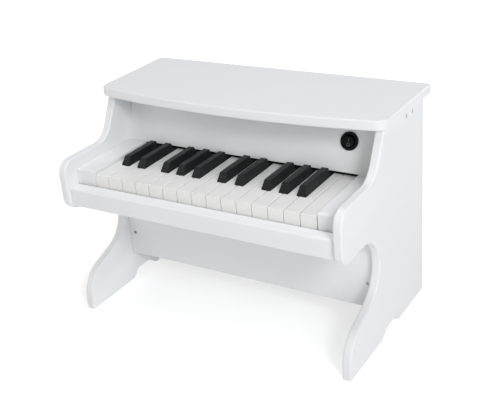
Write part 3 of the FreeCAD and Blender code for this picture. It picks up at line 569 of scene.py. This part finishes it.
def lay_on(piece, middle, normal, drop):
    """Set a flat piece upright on a face, just proud of it and below its middle, by moving its mesh."""
    across = Vector((1, 0, 0))
    up = normal.cross(across)
    turn = Matrix((across, up, normal)).transposed().to_4x4()
    piece.data.transform(Matrix.Translation(middle - up * drop + normal * MARK_PROUD) @ turn)


class PIANO_OT_switch(bpy.types.Operator):
    """Dress the rocker switch and print its marks"""

    bl_idname = "piano.switch"
    bl_label = "Rocker Switch"

    def execute(self, context):
        sizes = context.scene.piano_sizes
        for node in SWITCH_PARTS:
            dress(node, switch_nylon(), sizes.small_arris)
        upper, lower = rocker_faces()
        for mark, face, drop in ((bar_mark(), upper, sizes.bar_drop), (ring_mark(), lower, sizes.ring_drop)):
            lay_on(mark, *face, drop)
            coat(mark, pad_printed_grey())
            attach(mark, BODY_OF["switch_rocker"])
        return {"FINISHED"}


# Screws
# Points nearer to each other than this are on one screw
ONE_SCREW = 30 * MM
# Span of a recess at its bottom as a share of that at the head, and how far the cross is turned
RECESS_TAPER = 0.45
RECESS_TURN = math.radians(20)


def screw_heads(piece, out):
    """Middle of each screw's head and the way that it faces, sideways outwards where no way is given."""
    groups = []
    for vertex in piece.data.vertices:
        for group in groups:
            if (vertex.co - group[0]).length < ONE_SCREW:
                group.append(vertex.co)
                break
        else:
            groups.append([vertex.co])
    heads = []
    for group in groups:
        low = Vector(min(point[axis] for point in group) for axis in range(3))
        high = Vector(max(point[axis] for point in group) for axis in range(3))
        way = Vector(out) if out else Vector((math.copysign(1, low.x), 0, 0))
        middle = (low + high) / 2
        reach = Vector(abs(part) for part in way).dot(high - low) / 2
        heads.append((middle + way * reach, way))
    return heads


def recess_cross():
    """Two crossed wedges that press the recess of a head that faces up at the origin."""
    sizes = bpy.context.scene.piano_sizes
    wedge = started(bpy.ops.mesh.primitive_cube_add, size=1)
    edit(wedge)
    bpy.ops.transform.resize(value=(sizes.recess_span, sizes.recess_slot, 2 * sizes.recess_depth))
    leave_edit()
    for vertex in wedge.data.vertices:
        if vertex.co.z < 0:
            vertex.co.x *= RECESS_TAPER
    crossing = linked_copy("crossing wedge", wedge.data)
    crossing.data.transform(Matrix.Rotation(math.radians(90), 4, "Z"))
    return joined([wedge, crossing])


def recess_cutter(heads):
    """A copy of the cross on every head, joined into one object."""
    cross = recess_cross()
    cutters = []
    for middle, way in heads:
        cutter = linked_copy("recess cutter", cross.data)
        stand = way.to_track_quat("Z", "Y").to_matrix().to_4x4()
        spin = Matrix.Rotation(RECESS_TURN, 4, "Z")
        cutter.data.transform(Matrix.Translation(middle) @ stand @ spin)
        cutters.append(cutter)
    bpy.data.objects.remove(cross)
    return joined(cutters)


class PIANO_OT_screws(bpy.types.Operator):
    """Dress the screws that show and press their cross recesses"""

    bl_idname = "piano.screws"
    bl_label = "Screws"

    def execute(self, context):
        for node, out in SCREWS.items():
            piece = copied(node)
            coat(piece, zinc_plated_steel())
            cutter = recess_cutter(screw_heads(piece, out))
            # The cross faces take the darker steel: painted shade in the deep recess
            coat(cutter, recess_shade_steel())
            modify(piece, "BOOLEAN", object=cutter, operation="DIFFERENCE", solver="EXACT", use_self=True,
                   material_mode="TRANSFER")
            bpy.data.objects.remove(cutter)
            smooth(piece, SHARP_ANGLE)
            settle(piece, node)
        return {"FINISHED"}


# Felt strip, whose charcoal is painted shade of the gap under the fallboard
class PIANO_OT_key_felt(bpy.types.Operator):
    """Glue a charcoal felt strip under the fallboard, over the keys, as painted shade of the gap there"""

    bl_idname = "piano.key_felt"
    bl_label = "Key Felt"

    def execute(self, context):
        sizes = context.scene.piano_sizes
        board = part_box("fallboard")
        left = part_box("left_end_block")[1].x
        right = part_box("right_end_block")[0].x
        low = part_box(WHITE_KEYS[0])[1].z + sizes.felt_gap
        high = board[0].z
        back = board[0].y + sizes.felt_inset + sizes.felt_strip / 2
        strip = started(bpy.ops.mesh.primitive_cube_add, size=1)
        strip.name = "key_felt_shade_strip"
        edit(strip)
        bpy.ops.transform.resize(value=(right - left, sizes.felt_strip, high - low))
        bpy.ops.transform.translate(value=((left + right) / 2, back, (high + low) / 2))
        bpy.ops.mesh.bevel(offset=sizes.small_arris, segments=ROUND_SEGMENTS)
        leave_edit()
        smooth(strip, SHARP_ANGLE)
        # The charcoal felt stands as painted shade of the gap between the keys and the fallboard
        coat(strip, pressed_wool_felt())
        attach(strip, BODY_OF["fallboard"])
        return {"FINISHED"}


# Inner parts
class PIANO_OT_inner_parts(bpy.types.Operator):
    """Give the action, the circuit, the speaker and the battery bay their finishes"""

    bl_idname = "piano.inner_parts"
    bl_label = "Inner Parts"

    def execute(self, context):
        finishes = {
            "raw_wood": planed_softwood(),
            "grey_plastic": moulded_grey_abs(),
            "battery_plastic": textured_white_abs(),
            "steel": zinc_plated_steel(),
            "magnet": sintered_ferrite(),
            "cone_paper": pressed_paper(),
            "felt": pressed_wool_felt(),
            "circuit_board": solder_mask(),
            "contact_rubber": silicone_rubber(),
        }
        for node, obj in frame["nodes"].items():
            if SLOT_OF[node] in finishes and not obj.hide_render:
                coat(obj, finishes[SLOT_OF[node]])
        for node in BATTERY_PARTS:
            dress(node, finishes["battery_plastic"], context.scene.piano_sizes.small_arris)
        return {"FINISHED"}


# Stage, in metres and degrees, with the lens and its sensor in millimetres
CAMERA_PLACE = (0.54135, -0.82699, 0.60586)
CAMERA_AZIMUTH = 32.884
CAMERA_ELEVATION = 25.354
CAMERA_ROLL = -4.938
CAMERA_LENS = 63.704
CAMERA_SENSOR = 36.0
WHITE = "#FFFFFF"
# Light that the room throws on the piano, and the strength at which the background shows as white
ROOM_STRENGTH = 0.09
SHOWN_STRENGTH = 1.0
FLOOR_SPAN = 12.0
# Share of the floor's colour that shows light and shadow, added to a glow that grows with the distance
FLOOR_SHADOW_SHARE = 0.75
GLOW_NEAR = 0.2
GLOW_FAR = 0.7
GLOW_NEAR_STRENGTH = 0.5
LAMP_AIM = (0.0, 0.0, 0.16)
# Each lamp's name, place, width, power in watts and colour
LAMPS = (
    ("main softbox", (1.234, -0.975, 1.135), 0.4, 10.4, WHITE),
    ("top softbox", (0.0, 0.0, 1.9), 1.4, 15.2, "#FCFCFF"),
    ("right softbox", (1.9, 0.1, 0.9), 1.4, 1.4, WHITE),
    ("right front softbox", (1.5, -1.3, 0.75), 1.2, 9.2, "#F9FBFF"),
    ("left softbox", (-1.9, -0.2, 0.9), 1.4, 2.5, "#FFF8EE"),
    ("left front softbox", (-1.4, -1.4, 0.65), 1.2, 6.2, "#FFFAF4"),
    ("back softbox", (0.4, 1.9, 0.28), 0.5, 11.0, WHITE),
)


def seen_ray(tree):
    """Socket that is 1 for rays that show the background: camera, glossy and transmission."""
    path = add(tree, "ShaderNodeLightPath")
    first = add(tree, "ShaderNodeMath", {0: path.outputs["Is Camera Ray"], 1: path.outputs["Is Glossy Ray"]},
                operation="MAXIMUM")
    second = add(tree, "ShaderNodeMath", {0: first.outputs[0], 1: path.outputs["Is Transmission Ray"]},
                 operation="MAXIMUM")
    return second.outputs[0]


def lay_floor():
    """Pale floor that shows white to the camera and keeps the shadow."""
    floor = started(bpy.ops.mesh.primitive_plane_add, size=FLOOR_SPAN)
    floor.name = "floor"
    material = bpy.data.materials.new("pale floor")
    material.use_nodes = True
    tree = material.node_tree
    tree.nodes.clear()
    rgba = bpy.context.scene.piano_colours.floor
    shadowed = add(tree, "ShaderNodeBsdfDiffuse", {"Color": shade(rgba, FLOOR_SHADOW_SHARE)})
    place = add(tree, "ShaderNodeTexCoord").outputs["Object"]
    away = add(tree, "ShaderNodeVectorMath", {0: place}, operation="LENGTH")
    fade = add(tree, "ShaderNodeMapRange", {"Value": away.outputs["Value"], "From Min": GLOW_NEAR,
                                            "From Max": GLOW_FAR, "To Min": GLOW_NEAR_STRENGTH,
                                            "To Max": SHOWN_STRENGTH})
    glow = add(tree, "ShaderNodeEmission", {"Color": linear(WHITE), "Strength": fade.outputs["Result"]})
    shown = add(tree, "ShaderNodeAddShader", {0: shadowed.outputs[0], 1: glow.outputs[0]})
    bounce = add(tree, "ShaderNodeBsdfDiffuse", {"Color": rgba})
    mixed = add(tree, "ShaderNodeMixShader", {0: seen_ray(tree), 1: bounce.outputs[0], 2: shown.outputs[0]})
    add(tree, "ShaderNodeOutputMaterial", {"Surface": mixed.outputs[0]})
    floor.data.materials.append(material)


def hang_lamps():
    """Soft boxes round the piano."""
    for name, place, width, power, code in LAMPS:
        lamp = started(bpy.ops.object.light_add, type="AREA", location=place)
        lamp.name = name
        lamp.data.shape = "SQUARE"
        lamp.data.size = width
        lamp.data.energy = power
        lamp.data.color = linear(code)[:3]
        lamp.rotation_euler = (Vector(place) - Vector(LAMP_AIM)).to_track_quat("Z", "Y").to_euler()


def set_world():
    """Dim white room that the camera sees as plain white."""
    world = bpy.data.worlds.new("studio")
    bpy.context.scene.world = world
    world.use_nodes = True
    tree = world.node_tree
    tree.nodes.clear()
    room = add(tree, "ShaderNodeBackground", {"Color": linear(WHITE), "Strength": ROOM_STRENGTH})
    shown = add(tree, "ShaderNodeBackground", {"Color": linear(WHITE), "Strength": SHOWN_STRENGTH})
    mixed = add(tree, "ShaderNodeMixShader", {0: seen_ray(tree), 1: room.outputs[0], 2: shown.outputs[0]})
    add(tree, "ShaderNodeOutputWorld", {"Surface": mixed.outputs[0]})


def place_camera():
    """Camera at the photograph's viewpoint."""
    camera = started(bpy.ops.object.camera_add)
    turn = (Matrix.Rotation(math.radians(CAMERA_AZIMUTH), 4, "Z")
            @ Matrix.Rotation(math.radians(90 - CAMERA_ELEVATION), 4, "X")
            @ Matrix.Rotation(math.radians(CAMERA_ROLL), 4, "Z"))
    camera.matrix_world = Matrix.Translation(CAMERA_PLACE) @ turn
    camera.data.lens = CAMERA_LENS
    camera.data.sensor_width = CAMERA_SENSOR
    camera.data.sensor_fit = "HORIZONTAL"
    bpy.context.scene.camera = camera


class PIANO_OT_stage(bpy.types.Operator):
    """Set the floor, the lamps, the world and the camera"""

    bl_idname = "piano.stage"
    bl_label = "Stage"

    def execute(self, context):
        lay_floor()
        hang_lamps()
        set_world()
        place_camera()
        context.scene.view_settings.view_transform = "Standard"
        return {"FINISHED"}


# Panel and registration
STEPS = (PIANO_OT_painted_boards, PIANO_OT_white_keys, PIANO_OT_black_keys, PIANO_OT_switch, PIANO_OT_screws,
         PIANO_OT_key_felt, PIANO_OT_inner_parts, PIANO_OT_stage)


class PIANO_PT_panel(bpy.types.Panel):
    """List of the steps and values"""

    bl_idname = "PIANO_PT_panel"
    bl_label = "Toy Piano"
    bl_space_type = "VIEW_3D"
    bl_region_type = "UI"
    bl_category = "Toy Piano"

    def draw(self, context):
        for step in STEPS:
            self.layout.operator(step.bl_idname)
        for group in (context.scene.piano_colours, context.scene.piano_sizes):
            for name in group.bl_rna.properties.keys():
                if name not in ("rna_type", "name"):
                    self.layout.prop(group, name)


CLASSES = (PianoColours, PianoSizes) + STEPS + (PIANO_PT_panel,)


def register():
    """Register the classes and their values."""
    for each in CLASSES:
        bpy.utils.register_class(each)
    bpy.types.Scene.piano_colours = PointerProperty(type=PianoColours)
    bpy.types.Scene.piano_sizes = PointerProperty(type=PianoSizes)


def unregister():
    """Take the values and classes away again."""
    del bpy.types.Scene.piano_sizes
    del bpy.types.Scene.piano_colours
    for each in reversed(CLASSES):
        bpy.utils.unregister_class(each)


def main():
    """Register the steps and their values, dress the piano and set the stage."""
    register()
    bpy.ops.piano.painted_boards()
    bpy.ops.piano.white_keys()
    bpy.ops.piano.black_keys()
    bpy.ops.piano.switch()
    bpy.ops.piano.screws()
    bpy.ops.piano.key_felt()
    bpy.ops.piano.inner_parts()
    bpy.ops.piano.stage()


if __name__ == "__main__":
    main()
